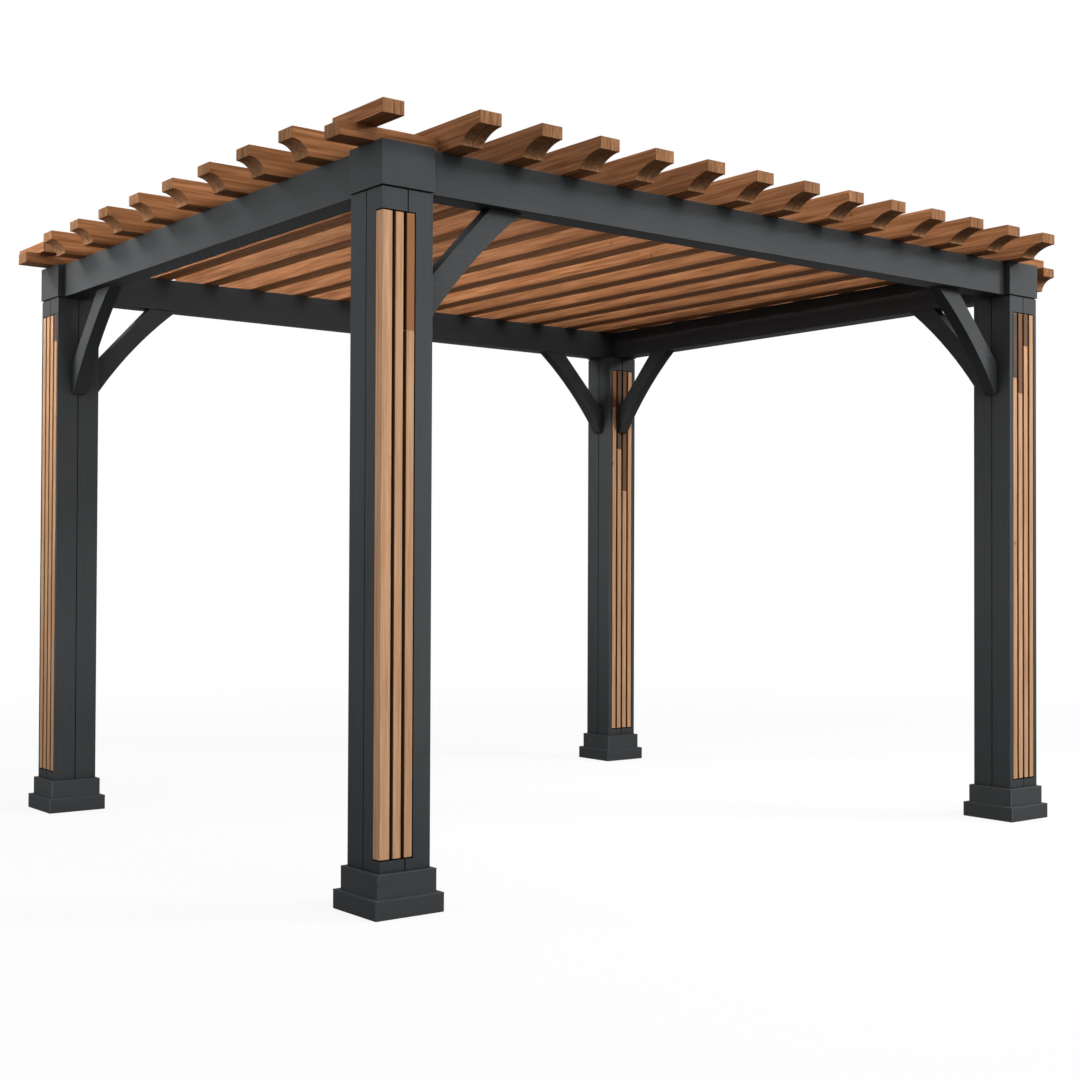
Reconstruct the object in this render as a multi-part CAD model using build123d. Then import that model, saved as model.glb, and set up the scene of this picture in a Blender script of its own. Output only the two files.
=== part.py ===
from build123d import *
import os

# Wooden pergola: slatted posts on stepped plinths, beams with cased corners, arched knee
# braces, and a roof of coved rafters and side tails.
# Millimetres. +X runs along the front from left to right, +Y to the back and +Z up. The
# origin is on the ground under the middle of the roof.

# Plan and height of the frame, between post centres and up to the top of the beams
post_spacing_x = 3105.0
post_spacing_y = 2595.0
beam_top = 2350.0

# Beams
beam_depth = 140.0
beam_thickness = 96.0

# Casings round the outer corners, where the beams meet
casing_proud = 4.0
casing_thickness = 30.0

# Posts, laid up from four timbers that show a seam down the middle of each face
post_width = 184.0
seam_width = 4.0
seam_depth = 6.0
neck_height = 5.0
neck_depth = 4.0

# Plinths, a low wide step under a narrower one
plinth_lower_proud = 32.0
plinth_lower_height = 61.0
plinth_upper_proud = 15.0
plinth_upper_height = 73.0
plinth_ease = 4.0

# Slats let into the posts, in rows that take a share of the face's width; the corner slat is
# square and shows on two faces
full_row_slat_count = 4
short_row_slat_count = 3
wide_row_share = 0.86
narrow_row_share = 0.75
corner_row_share = 0.634
slat_gap_share = 0.3
slat_depth = 32.0
corner_slat_width = 36.0
slat_reveal = 4.0
slat_top_margin = 75.0
slat_bottom_margin = 40.0

# Knee braces, drop down the post and run along the beam
brace_drop = 415.0
brace_run = 395.0
brace_seat = 130.0
brace_thickness = 56.0
brace_arch = 22.0
brace_tip = 12.0

# Rafters, front to back over the front and back beams. The outer ones stand clear of the side
# beams' inner faces, further at the left, and the ends project past the beams' outer faces
rafter_count = 13
rafter_width = 82.0
rafter_depth = 89.0
left_clearance = 111.0
right_clearance = 4.0
rafter_projection = 204.0

# Long cove cut from under the ends of the rafters
nose_height = 41.0
cove_length = 98.0
cove_lip = 10.0

# Side tails, short bars over the left and right beams, up to the outer rafters, with a shorter
# and rounder cove; the ones over the posts are halved
tail_count = 10
tail_width = 90.0
tail_projection = 150.0
tail_nose_height = 38.0
tail_cove_length = 58.0
halving_share = 0.5

# Corner stubs, short bars that look to the front and back; at the left they cross over the
# halved tails outside the beam, at the right they hang under the halved tails' ends
stub_width = 76.0
stub_clearance = 16.0
stub_projection = 130.0

# How far a cut runs past the piece it cuts
cut_overrun = 10.0

# Values worked out from the sizes above
half_x = post_spacing_x / 2
half_y = post_spacing_y / 2
post_half = post_width / 2
beam_bottom = beam_top - beam_depth
casing_half = post_half + casing_proud
beam_outer = casing_half - casing_thickness
beam_inner = beam_thickness - beam_outer
plinth_top = plinth_lower_height + plinth_upper_height
slat_bottom = plinth_top + slat_bottom_margin
slat_top = beam_bottom - slat_top_margin
roof_top = beam_top + rafter_depth
halving_level = beam_top + rafter_depth * halving_share
left_edge_x = beam_inner + left_clearance - half_x
right_edge_x = half_x - beam_inner - right_clearance
rafter_pitch = (right_edge_x - left_edge_x - rafter_width) / (rafter_count - 1)
tail_pitch = post_spacing_y / (tail_count - 1)
tail_end = half_x + beam_outer + tail_projection

# Where each post stands from the middle, in shares of half the spacing along X and Y
corner_shares = {
    "front_left": (-1, -1),
    "front_right": (1, -1),
    "back_right": (1, 1),
    "back_left": (-1, 1),
}

# For each post: its slatted face, the slats on it, the share of the face that they take, and if
# a square slat takes that face's left corner
slat_layouts = {
    "front_left": ("front", short_row_slat_count, corner_row_share, True),
    "front_right": ("front", full_row_slat_count, narrow_row_share, False),
    "back_right": ("front", full_row_slat_count, narrow_row_share, False),
    "back_left": ("left", full_row_slat_count, wide_row_share, False),
}

# The ways in which each post is braced; the front left post has no brace along the left beam
brace_runs = {
    "front_left": ("x",),
    "front_right": ("x", "y"),
    "back_right": ("x", "y"),
    "back_left": ("x", "y"),
}


def block(x_limits, y_limits, z_limits):
    """Return the box between three pairs of limits."""
    limits = (x_limits, y_limits, z_limits)
    sizes = [high - low for low, high in limits]
    middle = [(high + low) / 2 for low, high in limits]
    return Pos(*middle) * Box(*sizes)


def square_block(half, z_limits):
    """Return an upright square block round the Z axis."""
    return block((-half, half), (-half, half), z_limits)


def turned(shape, quarters):
    """Return a shape turned about the Z axis by quarter turns."""
    return Rot(0, 0, quarters * 90) * shape


def on_face(shape, face):
    """Return a shape drawn at a post's front face, moved to the face that is named."""
    return turned(shape, -1) if face == "left" else shape


def at_corner(name, shape):
    """Return a shape drawn round a post, moved to that post."""
    side_x, side_y = corner_shares[name]
    return Pos(side_x * half_x, side_y * half_y, 0) * shape


def slat_spans(count, row_share, at_edge):
    """Return the edges of each slat across a post face seen from the front."""
    row_width = post_width * row_share
    if at_edge:
        spans = [(-post_half, corner_slat_width - post_half)]
        pitch = (row_width - corner_slat_width) / (count - 1)
        right = corner_slat_width - post_half
    else:
        spans = []
        pitch = row_width / (count - slat_gap_share)
        right = -row_width / 2 - pitch * slat_gap_share
    for _ in range(count - len(spans)):
        left = right + pitch * slat_gap_share
        right += pitch
        spans.append((left, right))
    return spans


def slat_row(count, row_share, at_edge):
    """Return the slats of a front face, flush with it, for a post at the origin."""
    spans = slat_spans(count, row_share, at_edge)
    depths = [slat_depth] * count
    if at_edge:
        depths[0] = corner_slat_width
    heights = (slat_bottom, slat_top)
    return [block(span, (-post_half, depth - post_half), heights) for span, depth in zip(spans, depths)]


def slat_recess(count, row_share, at_edge):
    """Return the cut that takes the slats of a front face, open at a corner slat's side."""
    spans = slat_spans(count, row_share, at_edge)
    across = (spans[0][0] - slat_reveal, spans[-1][1] + slat_reveal)
    front = -post_half - cut_overrun
    heights = (slat_bottom - slat_reveal, slat_top + slat_reveal)
    recess = block(across, (front, slat_depth - post_half), heights)
    if at_edge:
        notch = (-post_half - cut_overrun, spans[0][1])
        recess += block(notch, (front, corner_slat_width - post_half), heights)
    return recess


def post_shaft(face, *row):
    """Return a post with its seams, its shadow neck and recesses on two opposite faces."""
    shoulder = beam_bottom - neck_height
    shaft = square_block(post_half, (0, shoulder))
    shaft += square_block(post_half - neck_depth, (shoulder, beam_bottom))
    seam = block(
        (-seam_width / 2, seam_width / 2),
        (-post_half - cut_overrun, seam_depth - post_half),
        (-cut_overrun, shoulder + cut_overrun),
    )
    for quarter in range(4):
        shaft -= turned(seam, quarter)
    recess = on_face(slat_recess(*row), face)
    return shaft - recess - turned(recess, 2)


def post_slats(face, *row):
    """Return the slats of a post's slatted face and of the face behind it."""
    slats = [on_face(slat, face) for slat in slat_row(*row)]
    return slats + [turned(slat, 2) for slat in slats]


def eased_step(half, z_limits):
    """Return a square step with its top edges rounded over."""
    step = square_block(half, z_limits)
    return fillet(step.faces().sort_by(Axis.Z)[-1].edges(), plinth_ease)


def plinth():
    """Return the stepped collar round a post's foot."""
    collar = eased_step(post_half + plinth_lower_proud, (0, plinth_lower_height))
    collar += eased_step(post_half + plinth_upper_proud, (plinth_lower_height, plinth_top))
    return collar - square_block(post_half, (-cut_overrun, plinth_top + cut_overrun))


def casing(side_x, side_y):
    """Return the casing that wraps the beams' outer corner over a post at the origin."""
    heights = (beam_bottom, beam_top)
    past_end = casing_half + cut_overrun
    inside_x = sorted((side_x * beam_outer, -side_x * past_end))
    inside_y = sorted((side_y * beam_outer, -side_y * past_end))
    past_heights = (beam_bottom - cut_overrun, beam_top + cut_overrun)
    return square_block(casing_half, heights) - block(inside_x, inside_y, past_heights)


def through_beam(side_y):
    """Return the front or back beam, which runs out to the corners."""
    reach = half_x + beam_outer
    across = sorted((side_y * (half_y + beam_outer), side_y * (half_y - beam_inner)))
    return block((-reach, reach), across, (beam_bottom, beam_top))


def butted_beam(side_x):
    """Return the left or right beam, which stands between the front and back beams."""
    reach = half_y - beam_inner
    across = sorted((side_x * (half_x + beam_outer), side_x * (half_x - beam_inner)))
    return block(across, (-reach, reach), (beam_bottom, beam_top))


def knee_brace():
    """Return a brace from the +X face of a post at the origin up to a beam along +X."""
    heel = (post_half, beam_bottom - brace_drop)
    tip = (post_half + brace_tip, beam_bottom - brace_drop)
    toe = (post_half + brace_run, beam_bottom)
    upper_toe = (post_half + brace_run - brace_seat, beam_bottom)
    upper_heel = (post_half, beam_bottom - brace_drop + brace_seat)
    arch = SagittaArc(tip, toe, brace_arch)
    outline = arch + Polyline(toe, upper_toe, upper_heel, heel, tip)
    return extrude(Plane.XZ * make_face(outline), amount=brace_thickness / 2, both=True)


def cove_cutter(end, height, length):
    """Return the cut under the end of a bar along +X, which leaves a nose of that height."""
    nose = (end, roof_top - height)
    lip = (end - length, beam_top + cove_lip)
    below = beam_top - cut_overrun
    past_end = end + cut_overrun
    cove = TangentArc(nose, lip, tangent=(-1, 0))
    rest = Polyline(lip, (lip[0], below), (past_end, below), (past_end, nose[1]), nose)
    width = max(rafter_width, tail_width)
    return extrude(Plane.XZ * make_face(cove + rest), amount=width, both=True)


def bar(limits, width, z_limits):
    """Return a square-ended bar along X."""
    return block(limits, (-width / 2, width / 2), z_limits)


def rafter():
    """Return a rafter along Y, over the middle of the frame, coved at both ends."""
    reach = half_y + beam_outer + rafter_projection
    cutter = cove_cutter(reach, nose_height, cove_length)
    piece = bar((-reach, reach), rafter_width, (beam_top, roof_top))
    return turned(piece - cutter - turned(cutter, 2), 1)


def side_tails(inner_end):
    """Return the row of tails over the right beam, from the outer rafter's face outwards."""
    limits = (inner_end, tail_end)
    whole = bar(limits, tail_width, (beam_top, roof_top))
    whole -= cove_cutter(tail_end, tail_nose_height, tail_cove_length)
    halved = bar(limits, tail_width, (beam_top, halving_level))
    pieces = [halved] + [whole] * (tail_count - 2) + [halved]
    return [Pos(0, index * tail_pitch - half_y, 0) * piece for index, piece in enumerate(pieces)]


def crossed_stubs():
    """Return the stubs across halved tails over the right beam."""
    limits = (half_y - casing_half, half_y + beam_outer + stub_projection)
    stub = bar(limits, stub_width, (halving_level, roof_top))
    place = half_x + beam_outer + stub_clearance + stub_width / 2
    return [Pos(place, 0, 0) * turned(stub, quarter) for quarter in (1, 3)]


def hung_stubs():
    """Return the coved stubs under the outer ends of the right beam's halved tails."""
    end = half_y + casing_half
    stub = bar((half_y - tail_width / 2, end), stub_width, (beam_top, roof_top))
    stub -= cove_cutter(end, tail_nose_height, tail_cove_length)
    place = Pos(tail_end - stub_width / 2, 0, -rafter_depth)
    return [place * turned(stub, quarter) for quarter in (1, 3)]


def build_nodes():
    """Return every piece of the pergola under its name."""
    nodes = {}
    for name, (side_x, side_y) in corner_shares.items():
        nodes[name + "_post"] = at_corner(name, post_shaft(*slat_layouts[name]))
        slats = post_slats(*slat_layouts[name])
        nodes[name + "_slats"] = Compound([at_corner(name, slat) for slat in slats])
        nodes[name + "_plinth"] = at_corner(name, plinth())
        nodes[name + "_casing"] = at_corner(name, casing(side_x, side_y))
        quarters = {"x": 1 + side_x, "y": -side_y}
        for run in brace_runs[name]:
            nodes[f"{name}_brace_along_{run}"] = at_corner(name, turned(knee_brace(), quarters[run]))
    nodes["front_beam"] = through_beam(-1)
    nodes["back_beam"] = through_beam(1)
    nodes["left_beam"] = butted_beam(-1)
    nodes["right_beam"] = butted_beam(1)
    for index in range(rafter_count):
        place = left_edge_x + rafter_width / 2 + index * rafter_pitch
        nodes[f"rafter_{index + 1:02d}"] = Pos(place, 0, 0) * rafter()
    nodes["right_side_tails"] = Compound(side_tails(right_edge_x))
    nodes["left_side_tails"] = Compound([turned(tail, 2) for tail in side_tails(-left_edge_x)])
    nodes["right_corner_stubs"] = Compound(hung_stubs())
    nodes["left_corner_stubs"] = Compound([turned(stub, 2) for stub in crossed_stubs()])
    return nodes


os.makedirs("parts", exist_ok=True)
for node, shape in build_nodes().items():
    export_step(shape, f"parts/{node}.step")
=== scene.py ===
"""Dresses the pergola: ripped and eased timbers, their paint and stain, and a pale stage."""
import logging
import math
import random
from dataclasses import dataclass, field, replace
from enum import Enum
from typing import ClassVar

import bmesh
import bpy
from mathutils import Matrix, Vector


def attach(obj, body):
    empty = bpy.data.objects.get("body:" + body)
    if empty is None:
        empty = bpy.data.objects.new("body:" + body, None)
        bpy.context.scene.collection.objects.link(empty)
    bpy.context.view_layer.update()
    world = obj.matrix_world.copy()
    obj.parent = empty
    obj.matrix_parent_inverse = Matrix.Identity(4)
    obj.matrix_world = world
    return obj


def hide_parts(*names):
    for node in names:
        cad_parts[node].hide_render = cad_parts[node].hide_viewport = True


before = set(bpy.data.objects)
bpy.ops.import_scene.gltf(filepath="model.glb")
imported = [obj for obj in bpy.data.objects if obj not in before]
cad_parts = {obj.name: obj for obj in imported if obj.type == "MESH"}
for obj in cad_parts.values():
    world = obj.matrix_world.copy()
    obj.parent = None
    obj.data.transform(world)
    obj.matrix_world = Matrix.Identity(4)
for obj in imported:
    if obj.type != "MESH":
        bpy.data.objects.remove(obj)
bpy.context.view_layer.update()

# Lengths are in metres; one that is given in millimetres is written times MM
MM = 0.001
BODY = "root"

PAINT_SLOT = "charcoal_painted_timber"
RAFTER_SLOT = "brown_stained_timber"
SLAT_SLOT = "tan_slat_timber"

# Sockets of a Mix node that mixes colours
COLOUR_A, COLOUR_B, COLOUR_OUT = 6, 7, 2

# How open a place lies, from 0 in a closed crack to 1 on a free face: painted shade is full at the
# first and gone at the second
SHADED_CORNER, UNSHADED_FACE = 0.25, 0.95
OPENNESS_SAMPLES = 6

log = logging.getLogger("pergola")


class Grain(Enum):
    """The way the fibres of a timber run."""

    X = (1.0, 0.0, 0.0)
    Y = (0.0, 1.0, 0.0)
    Z = (0.0, 0.0, 1.0)

    def stretch(self, factor: float) -> Vector:
        """Return the scale of a pattern drawn out along the fibres by a factor."""
        return Vector(1.0 / factor if part else 1.0 for part in self.value)


class Corner(Enum):
    """The four posts, by their place under the roof."""

    FRONT_LEFT = "front_left"
    FRONT_RIGHT = "front_right"
    BACK_RIGHT = "back_right"
    BACK_LEFT = "back_left"


def linear(colour: str) -> tuple[float, float, float, float]:
    """Turn an sRGB hex colour into linear light.

    Args:
        colour: the colour as a hash sign and six hex digits.

    Returns:
        Linear red, green and blue, and a full alpha.
    """
    foot_end, foot_slope, lift, power = 0.04045, 12.92, 0.055, 2.4
    parts = [int(colour[at:at + 2], 16) / 255 for at in (1, 3, 5)]
    red, green, blue = [
        part / foot_slope if part <= foot_end else ((part + lift) / (1 + lift)) ** power
        for part in parts]
    return red, green, blue, 1.0


def add_node(tree: bpy.types.NodeTree, kind: str, inputs: dict[str | int, object] | None = None,
             **settings: object) -> bpy.types.Node:
    """Add a node with its settings, and set or link its inputs.

    Args:
        tree: the node tree that takes the node.
        kind: the node's type.
        inputs: a value, or a socket to link, for each input by name or number.
        settings: properties of the node itself.

    Returns:
        The new node.
    """
    node = tree.nodes.new(kind)
    for name, value in settings.items():
        setattr(node, name, value)
    for key, value in (inputs or {}).items():
        if isinstance(value, bpy.types.NodeSocket):
            tree.links.new(value, node.inputs[key])
        else:
            node.inputs[key].default_value = value
    return node


def new_material(name: str) -> tuple[bpy.types.Material, bpy.types.NodeTree]:
    """Start a node material.

    Args:
        name: the material's name.

    Returns:
        The material and its empty node tree.
    """
    material = bpy.data.materials.new(name)
    material.use_nodes = True
    material.node_tree.nodes.clear()
    return material, material.node_tree


def in_corners(tree: bpy.types.NodeTree, colour: bpy.types.NodeSocket, reach: float, dark: str,
               strength: float) -> bpy.types.NodeSocket:
    """Paint shade into a colour in gaps and inner corners, where little light reaches.

    Args:
        tree: the node tree that takes the nodes.
        colour: the colour of the clean surface.
        reach: how far from a corner the dirt is seen.
        dark: the sRGB hex colour of the painted shade.
        strength: how far the colour goes over to the painted shade in the tightest corner.

    Returns:
        The colour with painted shade in its corners.
    """
    openness = add_node(tree, "ShaderNodeAmbientOcclusion", {"Distance": reach},
                        samples=OPENNESS_SAMPLES)
    shade_amount = add_node(tree, "ShaderNodeMapRange", {
        "Value": openness.outputs["AO"], "From Min": SHADED_CORNER, "From Max": UNSHADED_FACE,
        "To Min": strength, "To Max": 0.0})
    corner_shaded = add_node(tree, "ShaderNodeMix", {
        "Factor": shade_amount.outputs[0], COLOUR_A: colour, COLOUR_B: linear(dark)}, data_type="RGBA")
    return corner_shaded.outputs[COLOUR_OUT]


def finish_surface(tree: bpy.types.NodeTree, shader: bpy.types.Node) -> None:
    """Send a shader to the material's output."""
    add_node(tree, "ShaderNodeOutputMaterial", {"Surface": shader.outputs[0]})


@dataclass(frozen=True)
class PaintedTimber:
    """Planed softwood brushed with charcoal satin paint, which weather has turned nearly matt.

    To the eye it is flat and dark, with the grain just telling through the film. Arrises are
    paler, from wear and a painted highlight. Undersides are darker and the paint darkens towards
    the foot of the posts, both painted shade, and painted shade darkens corners.
    """

    name: str = "satin_painted_softwood"
    paint: str = "#4e4f50"
    paint_thin: str = "#47494a"
    # Paler arrises: wear and, partly, a painted highlight
    rubbed: str = "#85888a"
    # Painted shade on downward faces
    underside_shade: str = "#202122"
    roughness: float = 0.7
    sheen: float = 0.05
    # The real grain is 1 to 2 mm wide, too fine to show, so it is drawn coarser
    grain_width: float = 7 * MM
    grain_stretch: float = 24.0
    grain_detail: float = 3.0
    grain_roughness: float = 0.6
    patch_width: float = 420 * MM
    patch_detail: float = 2.0
    # Sums of the grain's and the patches' noise at which the film is thin and full
    film_limits: tuple[float, float] = (0.7, 1.3)
    relief: float = 0.12 * MM
    relief_strength: float = 0.5
    # Upward parts of a face's direction at which the painted shade on it is full and gone
    underside_limits: tuple[float, float] = (-0.95, -0.3)
    # Painted shade, in corners and towards the foot of the posts
    painted_shade: str = "#0d0e0f"
    shade_reach: float = 110 * MM
    shade_strength: float = 0.85
    # Painted shade, darker towards the ground, up to this height
    foot_shade_height: float = 900 * MM
    foot_shade_strength: float = 0.32

    def laid(self, tree: bpy.types.NodeTree, place: bpy.types.NodeSocket,
             grain: Grain) -> tuple[bpy.types.NodeSocket, bpy.types.NodeSocket]:
        """Lay the film over the fibres.

        Args:
            tree: the node tree that takes the nodes.
            place: the coordinates.
            grain: the way the fibres run.

        Returns:
            The height of the fibres, and the film from 0 where it is thin to 1.
        """
        drawn = add_node(tree, "ShaderNodeMapping", {
            "Vector": place, "Scale": grain.stretch(self.grain_stretch)})
        fibre = add_node(tree, "ShaderNodeTexNoise", {
            "Vector": drawn.outputs[0], "Scale": 1 / self.grain_width,
            "Detail": self.grain_detail, "Roughness": self.grain_roughness})
        patch = add_node(tree, "ShaderNodeTexNoise", {
            "Vector": place, "Scale": 1 / self.patch_width, "Detail": self.patch_detail})
        both = add_node(tree, "ShaderNodeMath", {
            0: fibre.outputs[0], 1: patch.outputs[0]}, operation="ADD")
        thin, full = self.film_limits
        film = add_node(tree, "ShaderNodeMapRange", {
            "Value": both.outputs[0], "From Min": thin, "From Max": full})
        return fibre.outputs[0], film.outputs[0]

    def coloured(self, tree: bpy.types.NodeTree,
                 film: bpy.types.NodeSocket) -> bpy.types.NodeSocket:
        """Colour the film, and make it paler on the arrises: wear and a painted highlight.

        Args:
            tree: the node tree that takes the nodes.
            film: the film from 0 where it is thin to 1.

        Returns:
            The colour.
        """
        tone = add_node(tree, "ShaderNodeMix", {
            "Factor": film, COLOUR_A: linear(self.paint_thin), COLOUR_B: linear(self.paint)},
            data_type="RGBA")
        # Paler arrises: wear and a painted highlight
        arris = add_node(tree, "ShaderNodeAttribute", attribute_name="arris")
        rub_and_highlight = add_node(tree, "ShaderNodeMath", {
            0: arris.outputs["Fac"], 1: film}, operation="MULTIPLY")
        colour = add_node(tree, "ShaderNodeMix", {
            "Factor": rub_and_highlight.outputs[0], COLOUR_A: tone.outputs[COLOUR_OUT],
            COLOUR_B: linear(self.rubbed)}, data_type="RGBA")
        return colour.outputs[COLOUR_OUT]

    def with_painted_shade(self, tree: bpy.types.NodeTree, place: bpy.types.NodeSocket,
                  colour: bpy.types.NodeSocket) -> bpy.types.NodeSocket:
        """Darken downward faces and the foot of the posts, as painted shade.

        Args:
            tree: the node tree that takes the nodes.
            place: the coordinates.
            colour: the colour of the paint.

        Returns:
            The colour with painted shade.
        """
        facing = add_node(tree, "ShaderNodeNewGeometry").outputs["Normal"]
        upward = add_node(tree, "ShaderNodeSeparateXYZ", {0: facing}).outputs["Z"]
        down, level = self.underside_limits
        below = add_node(tree, "ShaderNodeMapRange", {
            "Value": upward, "From Min": down, "From Max": level, "To Min": 1.0, "To Max": 0.0})
        # Painted shade on downward faces
        underside_shaded = add_node(tree, "ShaderNodeMix", {
            "Factor": below.outputs[0], COLOUR_A: colour, COLOUR_B: linear(self.underside_shade)},
            data_type="RGBA")
        height = add_node(tree, "ShaderNodeSeparateXYZ", {0: place}).outputs["Z"]
        # Painted shade, darker towards the ground
        foot_shade = add_node(tree, "ShaderNodeMapRange", {
            "Value": height, "From Max": self.foot_shade_height, "To Min": self.foot_shade_strength,
            "To Max": 0.0})
        foot_shaded = add_node(tree, "ShaderNodeMix", {
            "Factor": foot_shade.outputs[0], COLOUR_A: underside_shaded.outputs[COLOUR_OUT],
            COLOUR_B: linear(self.painted_shade)}, data_type="RGBA")
        return foot_shaded.outputs[COLOUR_OUT]

    def build(self, grain: Grain) -> bpy.types.Material:
        """Make the paint for timber with fibres along an axis.

        Args:
            grain: the way the fibres run.

        Returns:
            The material.
        """
        material, tree = new_material(f"{self.name}_{grain.name.lower()}")
        place = add_node(tree, "ShaderNodeTexCoord").outputs["Object"]
        fibre, film = self.laid(tree, place, grain)
        colour = self.with_painted_shade(tree, place, self.coloured(tree, film))
        bump = add_node(tree, "ShaderNodeBump", {
            "Height": fibre, "Strength": self.relief_strength, "Distance": self.relief})
        # Painted shade darkens the paint in gaps and inner corners
        shader = add_node(tree, "ShaderNodeBsdfPrincipled", {
            "Base Color": in_corners(tree, colour, self.shade_reach, self.painted_shade,
                                     self.shade_strength),
            "Roughness": self.roughness, "Specular IOR Level": self.sheen,
            "Normal": bump.outputs[0]})
        finish_surface(tree, shader)
        return material


@dataclass(frozen=True)
class StainedTimber:
    """Planed softwood under a clear warm stain, with sawn ends.

    To the eye the sides have long brown streaks, where growth rings are cut lengthwise, fine
    dark pores and small knots. Boards differ in tone, the ends show the rings upright, and old
    lengths have gone brown and then grey.
    """

    name: str
    early: str
    late: str
    end_wood: str
    end_ring: str
    pore: str
    browned: str
    greyed: str
    roughness: float = 0.7
    end_roughness: float = 0.85
    sheen: float = 0.06
    # Growth rings are 2 to 4 mm wide and pores well under 1 mm, too fine to show, so both are
    # drawn coarser
    ring_width: float = 12 * MM
    ring_stretch: float = 30.0
    ring_detail: float = 4.0
    ring_roughness: float = 0.55
    ring_waver: float = 0.4
    # Levels of the rings' noise at which the wood is late and early
    ring_limits: tuple[float, float] = (0.36, 0.64)
    pore_width: float = 4.0 * MM
    pore_stretch: float = 70.0
    pore_detail: float = 2.0
    # Levels of the pores' noise at which a pore starts and is at its darkest
    pore_limits: tuple[float, float] = (0.54, 0.7)
    pore_strength: float = 0.5
    end_ring_width: float = 8 * MM
    end_ring_stretch: float = 9.0
    end_ring_detail: float = 3.0
    end_ring_roughness: float = 0.6
    end_ring_limits: tuple[float, float] = (0.36, 0.62)
    tone_spread: float = 0.2
    relief: float = 0.3 * MM
    relief_strength: float = 0.5
    end_relief_strength: float = 0.6
    knot_spacing: float = 170 * MM
    knot_size: float = 7 * MM
    knot_strength: float = 0.8
    # The age at which wood is brown and starts to go grey
    brown_age: float = 0.5
    # Painted shade in gaps and inner corners
    painted_shade: str = "#160d07"
    shade_reach: float = 60 * MM
    shade_strength: float = 0.8
    # How far the pattern moves from the first board to the last, so that no two boards match
    board_jump: tuple[float, float, float] = (31.0, 47.0, 59.0)

    def board_place(self, tree: bpy.types.NodeTree
                    ) -> tuple[bpy.types.NodeSocket, bpy.types.NodeSocket]:
        """Find the place on each board.

        Args:
            tree: the node tree that takes the nodes.

        Returns:
            Coordinates that jump from board to board, and each board's number from 0 to 1.
        """
        place = add_node(tree, "ShaderNodeTexCoord").outputs["Object"]
        board = add_node(tree, "ShaderNodeAttribute", attribute_name="board").outputs["Fac"]
        jump = add_node(tree, "ShaderNodeVectorMath", {
            0: self.board_jump, "Scale": board}, operation="SCALE")
        moved = add_node(tree, "ShaderNodeVectorMath", {
            0: place, 1: jump.outputs[0]}, operation="ADD")
        return moved.outputs[0], board

    def toned(self, tree: bpy.types.NodeTree, colour: bpy.types.NodeSocket,
              board: bpy.types.NodeSocket) -> bpy.types.NodeSocket:
        """Make a colour darker or lighter for each board.

        Args:
            tree: the node tree that takes the nodes.
            colour: the colour of the wood.
            board: the board's number from 0 to 1.

        Returns:
            The board's own colour.
        """
        tone = add_node(tree, "ShaderNodeMapRange", {
            "Value": board, "To Min": 1.0 - self.tone_spread,
            "To Max": 1.0 + self.tone_spread / 2})
        own = add_node(tree, "ShaderNodeHueSaturation", {
            "Color": colour, "Value": tone.outputs[0]})
        return own.outputs[0]

    def ringed(self, tree: bpy.types.NodeTree, place: bpy.types.NodeSocket,
               grain: Grain) -> bpy.types.NodeSocket:
        """Streak the wood with growth rings cut lengthwise.

        Args:
            tree: the node tree that takes the nodes.
            place: the coordinates on the board.
            grain: the way the fibres run.

        Returns:
            The colour of the new wood.
        """
        drawn = add_node(tree, "ShaderNodeMapping", {
            "Vector": place, "Scale": grain.stretch(self.ring_stretch)})
        ring = add_node(tree, "ShaderNodeTexNoise", {
            "Vector": drawn.outputs[0], "Scale": 1 / self.ring_width, "Detail": self.ring_detail,
            "Roughness": self.ring_roughness, "Distortion": self.ring_waver})
        late, early = self.ring_limits
        band = add_node(tree, "ShaderNodeMapRange", {
            "Value": ring.outputs[0], "From Min": late, "From Max": early})
        wood = add_node(tree, "ShaderNodeMix", {
            "Factor": band.outputs[0], COLOUR_A: linear(self.late), COLOUR_B: linear(self.early)},
            data_type="RGBA")
        return wood.outputs[COLOUR_OUT]

    def grown_old(self, tree: bpy.types.NodeTree,
                  colour: bpy.types.NodeSocket) -> bpy.types.NodeSocket:
        """Turn old wood brown, and older wood grey.

        Args:
            tree: the node tree that takes the nodes.
            colour: the colour of the new wood.

        Returns:
            The colour at each board's age.
        """
        age = add_node(tree, "ShaderNodeAttribute", attribute_name="aged").outputs["Fac"]
        first_years = add_node(tree, "ShaderNodeMapRange", {
            "Value": age, "From Max": self.brown_age})
        browned = add_node(tree, "ShaderNodeMix", {
            "Factor": first_years.outputs[0], COLOUR_A: colour, COLOUR_B: linear(self.browned)},
            data_type="RGBA")
        late_years = add_node(tree, "ShaderNodeMapRange", {
            "Value": age, "From Min": self.brown_age})
        greyed = add_node(tree, "ShaderNodeMix", {
            "Factor": late_years.outputs[0], COLOUR_A: browned.outputs[COLOUR_OUT],
            COLOUR_B: linear(self.greyed)}, data_type="RGBA")
        return greyed.outputs[COLOUR_OUT]

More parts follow.
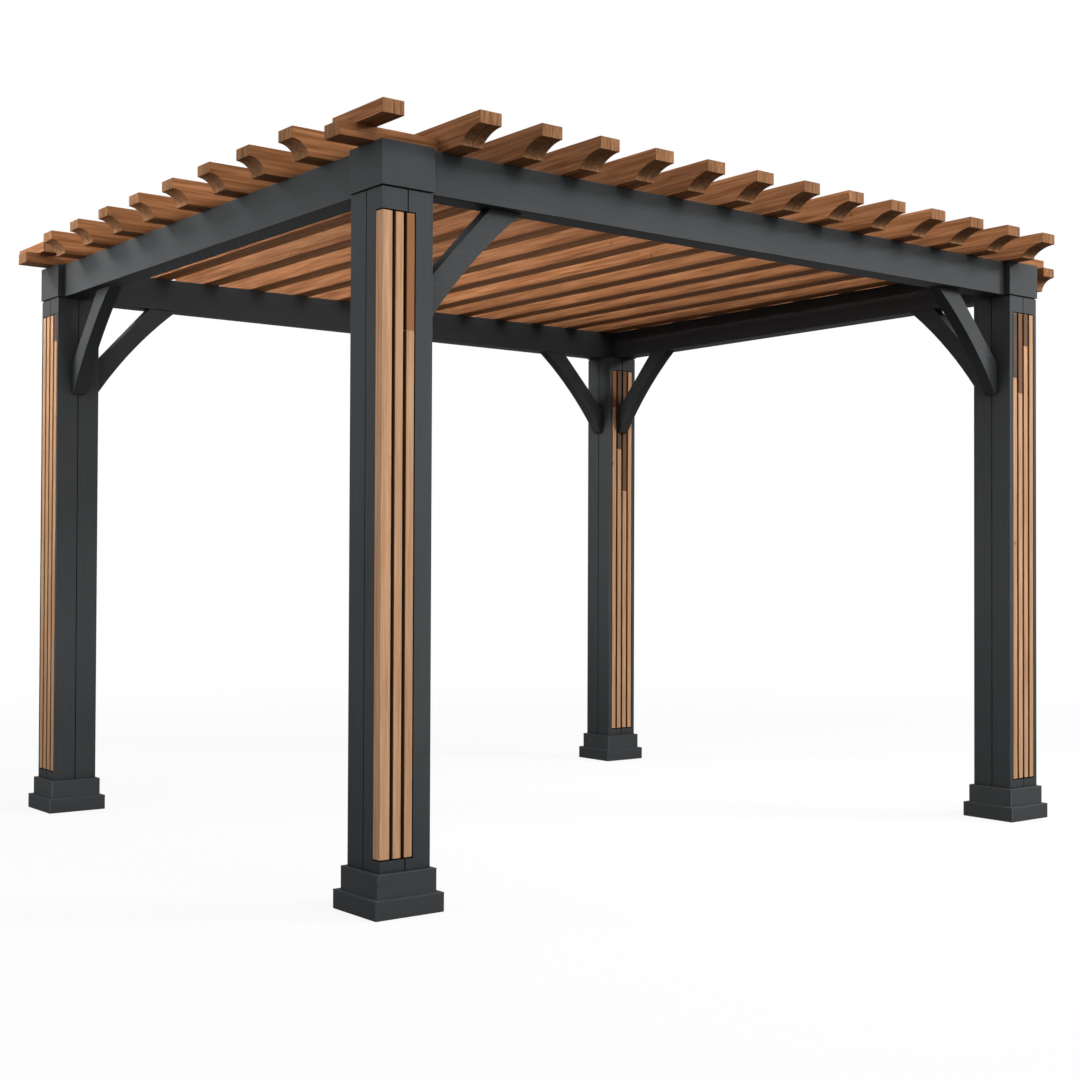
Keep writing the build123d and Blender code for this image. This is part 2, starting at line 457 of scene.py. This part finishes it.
    def marked(self, tree: bpy.types.NodeTree, place: bpy.types.NodeSocket,
               pore: bpy.types.NodeSocket, colour: bpy.types.NodeSocket) -> bpy.types.NodeSocket:
        """Mark the wood with dark pores and small knots.

        Args:
            tree: the node tree that takes the nodes.
            place: the coordinates on the board.
            pore: the noise of the pores.
            colour: the colour of the wood.

        Returns:
            The marked colour.
        """
        start, darkest = self.pore_limits
        speck = add_node(tree, "ShaderNodeMapRange", {
            "Value": pore, "From Min": start, "From Max": darkest, "To Max": self.pore_strength})
        near_knot = add_node(tree, "ShaderNodeTexVoronoi", {
            "Vector": place, "Scale": 1 / self.knot_spacing})
        knot_rim = self.knot_size / self.knot_spacing
        knot = add_node(tree, "ShaderNodeMapRange", {
            "Value": near_knot.outputs["Distance"], "From Min": knot_rim / 2,
            "From Max": 2 * knot_rim, "To Min": self.knot_strength, "To Max": 0.0})
        marks = add_node(tree, "ShaderNodeMath", {
            0: speck.outputs[0], 1: knot.outputs[0]}, operation="MAXIMUM")
        stained = add_node(tree, "ShaderNodeMix", {
            "Factor": marks.outputs[0], COLOUR_A: colour, COLOUR_B: linear(self.pore)},
            data_type="RGBA")
        return stained.outputs[COLOUR_OUT]

    def build_side(self, grain: Grain) -> bpy.types.Material:
        """Make the wood of faces that lie along the fibres.

        Args:
            grain: the way the fibres run.

        Returns:
            The material.
        """
        material, tree = new_material(f"{self.name}_side_{grain.name.lower()}")
        place, board = self.board_place(tree)
        fine = add_node(tree, "ShaderNodeMapping", {
            "Vector": place, "Scale": grain.stretch(self.pore_stretch)})
        pore = add_node(tree, "ShaderNodeTexNoise", {
            "Vector": fine.outputs[0], "Scale": 1 / self.pore_width, "Detail": self.pore_detail})
        wood = self.grown_old(tree, self.ringed(tree, place, grain))
        stained = self.marked(tree, place, pore.outputs[0], wood)
        bump = add_node(tree, "ShaderNodeBump", {
            "Height": pore.outputs[0], "Strength": self.relief_strength, "Distance": self.relief})
        # Painted shade darkens the wood in gaps and inner corners
        shader = add_node(tree, "ShaderNodeBsdfPrincipled", {
            "Base Color": in_corners(tree, self.toned(tree, stained, board), self.shade_reach,
                                     self.painted_shade, self.shade_strength),
            "Roughness": self.roughness, "Specular IOR Level": self.sheen,
            "Normal": bump.outputs[0]})
        finish_surface(tree, shader)
        return material

    def build_end(self, grain: Grain) -> bpy.types.Material:
        """Make the wood of sawn ends, where the rings of quarter-sawn boards stand upright.

        Args:
            grain: the way the fibres run, for the material's name.

        Returns:
            The material.
        """
        material, tree = new_material(f"{self.name}_end_{grain.name.lower()}")
        place, board = self.board_place(tree)
        upright = add_node(tree, "ShaderNodeMapping", {
            "Vector": place, "Scale": Grain.Z.stretch(self.end_ring_stretch)})
        ring = add_node(tree, "ShaderNodeTexNoise", {
            "Vector": upright.outputs[0], "Scale": 1 / self.end_ring_width,
            "Detail": self.end_ring_detail, "Roughness": self.end_ring_roughness})
        dark, pale = self.end_ring_limits
        band = add_node(tree, "ShaderNodeMapRange", {
            "Value": ring.outputs[0], "From Min": dark, "From Max": pale})
        wood = add_node(tree, "ShaderNodeMix", {
            "Factor": band.outputs[0], COLOUR_A: linear(self.end_ring),
            COLOUR_B: linear(self.end_wood)}, data_type="RGBA")
        fleck = add_node(tree, "ShaderNodeTexNoise", {
            "Vector": place, "Scale": 1 / self.pore_width, "Detail": self.pore_detail})
        bump = add_node(tree, "ShaderNodeBump", {
            "Height": fleck.outputs[0], "Strength": self.end_relief_strength,
            "Distance": self.relief})
        shader = add_node(tree, "ShaderNodeBsdfPrincipled", {
            "Base Color": self.toned(tree, wood.outputs[COLOUR_OUT], board),
            "Roughness": self.end_roughness, "Specular IOR Level": self.sheen,
            "Normal": bump.outputs[0]})
        finish_surface(tree, shader)
        return material


# Pine or fir under a brown stain: warm and streaky, with darker ends that drank more stain
RAFTER_WOOD = StainedTimber(
    name="brown_stained_softwood", early="#b97f54", late="#8a5733", end_wood="#a87a55",
    end_ring="#845a3e", pore="#6e3f20", browned="#7d5233", greyed="#6b5a4c",
    shade_strength=0.5)

# The same wood oiled only: pale tan, evener in tone, with old lengths that stand out
SLAT_WOOD = StainedTimber(
    name="tan_oiled_softwood", early="#d8aa84", late="#c2926d", end_wood="#c49a74",
    end_ring="#a97d5a", pore="#9c6e48", browned="#93603d", greyed="#4d4a47",
    ring_width=11 * MM, tone_spread=0.12)

# Paint on posts, casings and braces; on plinths, with less painted shade in corners and at
# the foot; and on beams, whose painted shade under the roof reaches far down
PAINT = PaintedTimber()
PLINTH_PAINT = replace(
    PAINT, name="rubbed_painted_softwood", shade_strength=0.2, foot_shade_strength=0.15)
BEAM_PAINT = replace(
    PAINT, name="sheltered_painted_softwood", shade_reach=230.0 * MM, shade_strength=0.5)


class Palette:
    """Makes each finish once for each way of the grain."""

    made: ClassVar[dict[str, list[bpy.types.Material]]] = {}

    @classmethod
    def pair(cls, finish: PaintedTimber | StainedTimber,
             grain: Grain) -> list[bpy.types.Material]:
        """Return the materials of a timber's sides and ends.

        Args:
            finish: the finish of the timber.
            grain: the way its fibres run.

        Returns:
            The material of the sides, then that of the ends if it differs.
        """
        key = f"{finish.name}_{grain.name}"
        if key not in cls.made:
            if isinstance(finish, PaintedTimber):
                cls.made[key] = [finish.build(grain)]
            else:
                cls.made[key] = [finish.build_side(grain), finish.build_end(grain)]
        return cls.made[key]


@dataclass
class Timber:
    """A timber of the frame, or a set of like ones: copied, ripped into boards, eased, dressed."""

    node: str
    slot: str
    finish: PaintedTimber | StainedTimber
    grain: Grain
    ease: float = 2.0 * MM
    ease_segments: int = 2
    # How far the arrises go paler: wear and a painted highlight
    wear_and_highlight: float = 0.3
    # Faces made paler, by wear and a painted highlight, are narrower than this many times the ease
    rubbed_highlight_eases: float = 3.0
    rip_axis: Grain | None = None
    groove_width: float = 8 * MM
    joint_gap: float = 0.4 * MM
    weld: float = 0.01 * MM
    flat_angle: float = math.radians(1.0)
    round_angle: float = math.radians(8.0)
    sharp_angle: float = math.radians(30.0)
    crease_angle: float = math.radians(50.0)
    end_cosine: float = 0.35
    shading_weight: int = 100

    def copied(self) -> bmesh.types.BMesh:
        """Copy the node's mesh.

        Returns:
            A closed mesh whose flat faces are whole.
        """
        mesh = bmesh.new()
        mesh.from_mesh(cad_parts[self.node].data)
        bmesh.ops.remove_doubles(mesh, verts=mesh.verts, dist=self.weld)
        bmesh.ops.dissolve_limit(
            mesh, angle_limit=self.flat_angle, verts=mesh.verts, edges=mesh.edges)
        return mesh

    def islands(self, mesh: bmesh.types.BMesh) -> list[list[bmesh.types.BMFace]]:
        """Tell the separate timbers of a mesh apart.

        Args:
            mesh: the mesh that holds them.

        Returns:
            The faces of each timber.
        """
        left = set(mesh.faces)
        groups = []
        for start in mesh.faces:
            if start not in left:
                continue
            left.discard(start)
            group, to_visit = [], [start]
            while to_visit:
                face = to_visit.pop()
                group.append(face)
                for near in (other for edge in face.edges for other in edge.link_faces):
                    if near in left:
                        left.discard(near)
                        to_visit.append(near)
            groups.append(group)
        return groups

    def span(self, group: list[bmesh.types.BMFace], axis: Grain) -> tuple[float, float]:
        """Return the lowest and highest place of a timber along an axis."""
        places = [vert.co.dot(Vector(axis.value)) for face in group for vert in face.verts]
        return min(places), max(places)

    def part(self, mesh: bmesh.types.BMesh, group: list[bmesh.types.BMFace], axis: Grain,
             place: float) -> None:
        """Part a timber across an axis into two boards with a fine joint between them.

        Args:
            mesh: the mesh that holds the timber.
            group: the timber's faces.
            axis: the direction across the joint.
            place: where the joint lies along that direction.
        """
        across = Vector(axis.value)
        twin = bmesh.ops.duplicate(mesh, geom=list(group))["geom"]
        twin_faces = [piece for piece in twin if isinstance(piece, bmesh.types.BMFace)]
        self.keep_side(mesh, group, across, place + self.joint_gap / 2)
        self.keep_side(mesh, twin_faces, -across, self.joint_gap / 2 - place)

    def parted(self, mesh: bmesh.types.BMesh) -> None:
        """Rip every timber down the middle, if it is laid up from two boards.

        Args:
            mesh: the mesh that holds the timbers.
        """
        if self.rip_axis is None:
            return
        for group in self.islands(mesh):
            low, high = self.span(group, self.rip_axis)
            self.part(mesh, group, self.rip_axis, (low + high) / 2)

    def keep_side(self, mesh: bmesh.types.BMesh, faces: list[bmesh.types.BMFace],
                  normal: Vector, place: float) -> None:
        """Cut a timber by a plane, keep the part ahead of it and close the cut.

        Args:
            mesh: the mesh that holds the timber.
            faces: the timber's faces.
            normal: the plane's direction, towards the part that stays.
            place: the plane's distance from the origin along that direction.
        """
        edges = dict.fromkeys(edge for face in faces for edge in face.edges)
        verts = dict.fromkeys(vert for face in faces for vert in face.verts)
        cut = bmesh.ops.bisect_plane(
            mesh, geom=[*faces, *edges, *verts], dist=self.weld, plane_co=normal * place,
            plane_no=normal, clear_inner=True)["geom_cut"]
        rim = [part for part in cut if isinstance(part, bmesh.types.BMEdge)]
        bmesh.ops.edgeloop_fill(mesh, edges=rim)

    def narrowest(self, face: bmesh.types.BMFace) -> float:
        """Return the length of a face's shortest edge."""
        return min(edge.calc_length() for edge in face.edges)

    def eased(self, mesh: bmesh.types.BMesh) -> None:
        """Ease the outer arrises, not those of grooves, and mark their wear and painted highlight.

        Args:
            mesh: the mesh that holds the timbers.
        """
        arris = mesh.faces.layers.float.new("arris")
        grooves = {face for face in mesh.faces if self.narrowest(face) < self.groove_width}
        sharp = [edge for edge in mesh.edges
                 if edge.is_manifold and edge.calc_face_angle_signed() > self.sharp_angle
                 and grooves.isdisjoint(edge.link_faces)]
        cut = bmesh.ops.bevel(
            mesh, geom=sharp, offset=self.ease, offset_type="OFFSET",
            segments=self.ease_segments, profile=0.5, material=-1, affect="EDGES",
            clamp_overlap=True)
        paler_faces = set(cut["faces"])
        for edge in mesh.edges:
            turn = abs(edge.calc_face_angle_signed()) if edge.is_manifold else 0.0
            edge.smooth = turn < self.crease_angle
            if self.round_angle < turn < self.sharp_angle:
                paler_faces.update(edge.link_faces)
        # Arrises are marked paler, for wear and a painted highlight
        for face in paler_faces:
            is_rubbed_highlight = self.narrowest(face) < self.rubbed_highlight_eases * self.ease
            face[arris] = self.wear_and_highlight * is_rubbed_highlight

    def marked(self, mesh: bmesh.types.BMesh) -> None:
        """Give every board its number and send sawn ends to the end-grain finish.

        Args:
            mesh: the mesh that holds the boards.
        """
        chance = random.Random(self.node)
        board = mesh.faces.layers.float.new("board")
        fibres = Vector(self.grain.value)
        has_ends = isinstance(self.finish, StainedTimber)
        for group in self.islands(mesh):
            number = chance.random()
            for face in group:
                is_end = abs(face.normal.dot(fibres)) > self.end_cosine
                face[board] = number
                face.smooth = True
                face.material_index = int(has_ends and is_end)

    def make(self) -> bpy.types.Object:
        """Build the finished piece and set it in place of its node.

        Returns:
            The new object.
        """
        mesh = self.copied()
        self.parted(mesh)
        bmesh.ops.recalc_face_normals(mesh, faces=mesh.faces)
        self.eased(mesh)
        self.marked(mesh)
        data = bpy.data.meshes.new(f"dressed_{self.node}")
        mesh.to_mesh(data)
        mesh.free()
        for material in Palette.pair(self.finish, self.grain):
            data.materials.append(material)
        piece = bpy.data.objects.new(data.name, data)
        bpy.context.scene.collection.objects.link(piece)
        shading = piece.modifiers.new("even_shading", "WEIGHTED_NORMAL")
        shading.weight = self.shading_weight
        shading.keep_sharp = True
        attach(piece, BODY)
        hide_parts(self.node)
        log.info("%s: %d faces", piece.name, len(data.polygons))
        return piece


@dataclass(frozen=True)
class AgedLength:
    """The upper length of a pieced slat, which weather has browned, and greyed past half age."""

    slat: int
    joint_height: float
    age: float


@dataclass
class SlatSet(Timber):
    """The slats of a post, some of them with an aged upper length on the face that shows."""

    shown_normal: Grain = Grain.Y
    aged: tuple[AgedLength, ...] = ()

    def shown_row(self, mesh: bmesh.types.BMesh) -> list[list[bmesh.types.BMFace]]:
        """Find the slats of the face that shows.

        Args:
            mesh: the mesh that holds the slats.

        Returns:
            The faces of each slat, in order from the left.
        """
        groups = self.islands(mesh)
        across = Grain.X if self.shown_normal is Grain.Y else Grain.Y
        front = min(self.span(group, self.shown_normal)[0] for group in groups)
        row = [group for group in groups
               if self.span(group, self.shown_normal)[0] - front < self.ease]
        return sorted(row, key=lambda group: self.span(group, across)[0],
                      reverse=across is Grain.Y)

    def parted(self, mesh: bmesh.types.BMesh) -> None:
        """Give the pieced slats their age and cut them at their joints.

        Args:
            mesh: the mesh that holds the slats.
        """
        age = mesh.faces.layers.float.new("aged")
        row = self.shown_row(mesh)
        for length in self.aged:
            group = row[length.slat - 1]
            for face in group:
                face[age] = length.age
            self.part(mesh, group, Grain.Z, length.joint_height)

    def marked(self, mesh: bmesh.types.BMesh) -> None:
        """Number the boards and leave only the upper lengths aged.

        Args:
            mesh: the mesh that holds the boards.
        """
        super().marked(mesh)
        age = mesh.faces.layers.float["aged"]
        groups = self.islands(mesh)
        foot = min(self.span(group, Grain.Z)[0] for group in groups)
        for group in groups:
            oldest = max(face[age] for face in group)
            is_lower = self.span(group, Grain.Z)[0] - foot < self.ease
            for face in group:
                face[age] = 0.0 if is_lower else oldest


# Pieced slats of each post, counted from the left of the face that shows
AGED_LENGTHS = {
    Corner.FRONT_LEFT: (
        AgedLength(slat=3, joint_height=1.777, age=0.45),
    ),
    Corner.FRONT_RIGHT: (
        AgedLength(slat=1, joint_height=1.860, age=0.95),
        AgedLength(slat=2, joint_height=1.797, age=0.7),
        AgedLength(slat=3, joint_height=2.000, age=0.85),
    ),
    Corner.BACK_RIGHT: (
        AgedLength(slat=1, joint_height=1.933, age=0.5),
        AgedLength(slat=2, joint_height=1.704, age=0.9),
        AgedLength(slat=3, joint_height=1.475, age=0.75),
    ),
    Corner.BACK_LEFT: (
        AgedLength(slat=4, joint_height=2.019, age=0.9),
    ),
}


@dataclass
class CornerPost:
    """A post with its slats, its plinth, the casing over it and its braces."""

    corner: Corner
    post_ease: float = 2.0 * MM
    slat_ease: float = 1.5 * MM
    plinth_ease: float = 3.0 * MM
    # Plinth arrises go palest: wear and a painted highlight
    plinth_wear: float = 0.8
    casing_ease: float = 2.5 * MM
    brace_ease: float = 2.5 * MM

    def build(self) -> None:
        """Build every piece of the corner."""
        name = self.corner.value
        Timber(f"{name}_post", PAINT_SLOT, PAINT, Grain.Z, ease=self.post_ease).make()
        shown = Grain.X if self.corner is Corner.BACK_LEFT else Grain.Y
        SlatSet(f"{name}_slats", SLAT_SLOT, SLAT_WOOD, Grain.Z, ease=self.slat_ease,
                shown_normal=shown, aged=AGED_LENGTHS[self.corner]).make()
        Timber(f"{name}_plinth", PAINT_SLOT, PLINTH_PAINT, Grain.X, ease=self.plinth_ease,
               wear_and_highlight=self.plinth_wear).make()
        Timber(f"{name}_casing", PAINT_SLOT, PAINT, Grain.X, ease=self.casing_ease).make()
        for grain in (Grain.X, Grain.Y):
            brace = f"{name}_brace_along_{grain.name.lower()}"
            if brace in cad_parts:
                Timber(brace, PAINT_SLOT, PAINT, grain, ease=self.brace_ease).make()


@dataclass
class BeamRing:
    """The four beams on the posts."""

    ease: float = 3.0 * MM
    runs: dict[str, Grain] = field(default_factory=lambda: {
        "front_beam": Grain.X, "back_beam": Grain.X,
        "left_beam": Grain.Y, "right_beam": Grain.Y})

    def build(self) -> None:
        """Build the beams."""
        for node, grain in self.runs.items():
            Timber(node, PAINT_SLOT, BEAM_PAINT, grain, ease=self.ease).make()


@dataclass
class Roof:
    """The rafters, the tails at both sides and the stubs at the corners, each of two boards."""

    ease: float = 1.8 * MM

    def build(self) -> None:
        """Build the rafters, tails and stubs."""
        rafters = sorted(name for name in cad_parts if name.startswith("rafter_"))
        for node in rafters:
            self.bar(node, Grain.Y, Grain.X)
        for side in ("left", "right"):
            self.bar(f"{side}_side_tails", Grain.X, Grain.Y)
            self.bar(f"{side}_corner_stubs", Grain.Y, Grain.X)

    def bar(self, node: str, grain: Grain, across: Grain) -> None:
        """Build a bar, or a row of like ones, ripped into two boards across an axis."""
        Timber(node, RAFTER_SLOT, RAFTER_WOOD, grain, ease=self.ease, rip_axis=across).make()


@dataclass(frozen=True)
class SoftBox:
    """A wide lamp behind a cloth, with a grid that can narrow its beam."""

    name: str
    place: tuple[float, float, float]
    size: tuple[float, float]
    watts: float
    aim: tuple[float, float, float] = (0.0, 0.0, 1.7)
    spread: float = 180.0

    def hang(self) -> None:
        """Hang the lamp in its place, turned to what it aims at."""
        light = bpy.data.lights.new(self.name, "AREA")
        light.shape = "RECTANGLE"
        light.size, light.size_y = self.size
        light.energy = self.watts
        light.spread = math.radians(self.spread)
        box = bpy.data.objects.new(self.name, light)
        facing = (Vector(self.aim) - Vector(self.place)).to_track_quat("-Z", "Y")
        box.matrix_world = Matrix.Translation(self.place) @ facing.to_matrix().to_4x4()
        box.visible_camera = False
        bpy.context.scene.collection.objects.link(box)


# A broad front light and a key from the right, with narrow fills for the roof's inside, the left
# side and the beams' inner faces
SOFT_BOXES = (
    SoftBox("front_soft_box", place=(0.6, -6.4, 5.2), size=(8.0, 2.4), watts=46.0,
            aim=(0.3, 0.0, 0.6), spread=75.0),
    SoftBox("right_soft_box", place=(7.8, -7.6, 5.35), size=(3.2, 1.5), watts=142.0,
            aim=(0.0, -0.8, 1.6), spread=75.0),
    SoftBox("inner_beam_soft_box", place=(0.1, -2.9, 0.4), size=(1.0, 0.5), watts=3.2,
            aim=(-0.9, 1.25, 2.5), spread=50.0),
    SoftBox("roof_soft_box", place=(-4.0, 3.6, 5.0), size=(1.8, 1.6), watts=32.0,
            aim=(0.9, -0.2, 2.2), spread=44.0),
    SoftBox("left_soft_box", place=(-7.5, 1.0, 2.2), size=(5.0, 2.0), watts=50.0),
    SoftBox("left_beam_soft_box", place=(-6.0, 3.5, 2.6), size=(2.0, 1.2), watts=13.0,
            aim=(-1.6, 0.3, 2.4), spread=50.0),
    SoftBox("low_front_soft_box", place=(-1.5, -8.0, 2.2), size=(5.0, 2.0), watts=50.0),
    SoftBox("left_post_soft_box", place=(-4.6, -1.0, 1.6), size=(1.5, 1.5), watts=3.0,
            aim=(-1.65, 1.3, 1.2), spread=44.0),
)


@dataclass
class Studio:
    """The pale floor, the soft light and the camera."""

    camera_place: tuple[float, float, float] = (-4.2268, -5.4874, 1.0583)
    camera_yaw: float = 37.887
    camera_pitch: float = 0.940
    camera_roll: float = 0.211
    lens: float = 53.463
    film_width: float = 36.0
    floor_half: float = 40.0
    floor_drop: float = 0.5 * MM
    # What the floor sends back to the object, and what of the light on it the eye sees
    floor_return: str = "#343434"
    floor_shade: str = "#616161"
    floor_glow: float = 0.885
    # The floor keeps the shadow up to the first distance and is plain white from the second
    shadow_ring: float = 3.0
    white_ring: float = 8.0
    lamps: tuple[SoftBox, ...] = SOFT_BOXES
    sky_colour: str = "#e9eff3"
    sky_level: float = 0.54
    white: str = "#ffffff"

    def camera(self) -> None:
        """Stand the camera where the photograph was taken from."""
        lens = bpy.data.cameras.new("photo_camera")
        lens.lens = self.lens
        lens.sensor_width = self.film_width
        lens.sensor_fit = "HORIZONTAL"
        stand = bpy.data.objects.new(lens.name, lens)
        turn = Matrix.Rotation(math.radians(-self.camera_yaw), 4, "Z")
        tilt = Matrix.Rotation(math.radians(90.0 + self.camera_pitch), 4, "X")
        roll = Matrix.Rotation(math.radians(self.camera_roll), 4, "Z")
        stand.matrix_world = Matrix.Translation(self.camera_place) @ turn @ tilt @ roll
        bpy.context.scene.collection.objects.link(stand)
        bpy.context.scene.camera = stand

    def seen_rays(self, tree: bpy.types.NodeTree) -> bpy.types.NodeSocket:
        """Tell rays that show the background to the eye, straight, in a gloss or through glass.

        Args:
            tree: the node tree that takes the nodes.

        Returns:
            1 for such a ray, and 0 for others.
        """
        path = add_node(tree, "ShaderNodeLightPath")
        either = add_node(tree, "ShaderNodeMath", {
            0: path.outputs["Is Camera Ray"], 1: path.outputs["Is Glossy Ray"]},
            operation="MAXIMUM")
        seen = add_node(tree, "ShaderNodeMath", {
            0: either.outputs[0], 1: path.outputs["Is Transmission Ray"]}, operation="MAXIMUM")
        return seen.outputs[0]

    def floor_paint(self) -> bpy.types.Material:
        """Make the floor's matt white, which keeps a faint shadow near the object.

        Returns:
            The material.
        """
        material, tree = new_material("pale_floor")
        matt = add_node(tree, "ShaderNodeBsdfDiffuse", {"Color": linear(self.floor_return)})
        pale = add_node(tree, "ShaderNodeBsdfDiffuse", {"Color": linear(self.floor_shade)})
        glow = add_node(tree, "ShaderNodeEmission", {"Strength": self.floor_glow})
        shaded = add_node(tree, "ShaderNodeAddShader", {0: pale.outputs[0], 1: glow.outputs[0]})
        white = add_node(tree, "ShaderNodeEmission", {"Strength": 1.0})
        place = add_node(tree, "ShaderNodeTexCoord").outputs["Object"]
        away = add_node(tree, "ShaderNodeVectorMath", {0: place}, operation="LENGTH")
        fade = add_node(tree, "ShaderNodeMapRange", {
            "Value": away.outputs["Value"], "From Min": self.shadow_ring,
            "From Max": self.white_ring})
        seen = add_node(tree, "ShaderNodeMixShader", {
            0: fade.outputs[0], 1: shaded.outputs[0], 2: white.outputs[0]})
        mixed = add_node(tree, "ShaderNodeMixShader", {
            0: self.seen_rays(tree), 1: matt.outputs[0], 2: seen.outputs[0]})
        finish_surface(tree, mixed)
        return material

    def floor(self) -> None:
        """Lay the floor just under the plinths."""
        mesh = bmesh.new()
        bmesh.ops.create_grid(mesh, x_segments=1, y_segments=1, size=self.floor_half)
        bmesh.ops.translate(mesh, verts=mesh.verts, vec=(0, 0, -self.floor_drop))
        data = bpy.data.meshes.new("floor")
        mesh.to_mesh(data)
        mesh.free()
        data.materials.append(self.floor_paint())
        plane = bpy.data.objects.new(data.name, data)
        bpy.context.scene.collection.objects.link(plane)

    def sky(self) -> None:
        """Fill the world with white to the eye and a level soft light to the object."""
        world = bpy.data.worlds.new("studio")
        world.use_nodes = True
        tree = world.node_tree
        tree.nodes.clear()
        soft = add_node(tree, "ShaderNodeBackground", {
            "Color": linear(self.sky_colour), "Strength": self.sky_level})
        white = add_node(tree, "ShaderNodeBackground", {
            "Color": linear(self.white), "Strength": 1.0})
        mixed = add_node(tree, "ShaderNodeMixShader", {
            0: self.seen_rays(tree), 1: soft.outputs[0], 2: white.outputs[0]})
        add_node(tree, "ShaderNodeOutputWorld", {"Surface": mixed.outputs[0]})
        bpy.context.scene.world = world

    def build(self) -> None:
        """Set up camera, floor, lamps and world."""
        bpy.context.scene.view_settings.view_transform = "Standard"
        self.camera()
        self.floor()
        for lamp in self.lamps:
            lamp.hang()
        self.sky()


def main() -> None:
    """Build the pergola's pieces in order, then the stage."""
    logging.basicConfig(level=logging.INFO, format="%(name)s %(message)s")
    for corner in Corner:
        CornerPost(corner).build()
    BeamRing().build()
    Roof().build()
    Studio().build()


if __name__ == "__main__":
    main()
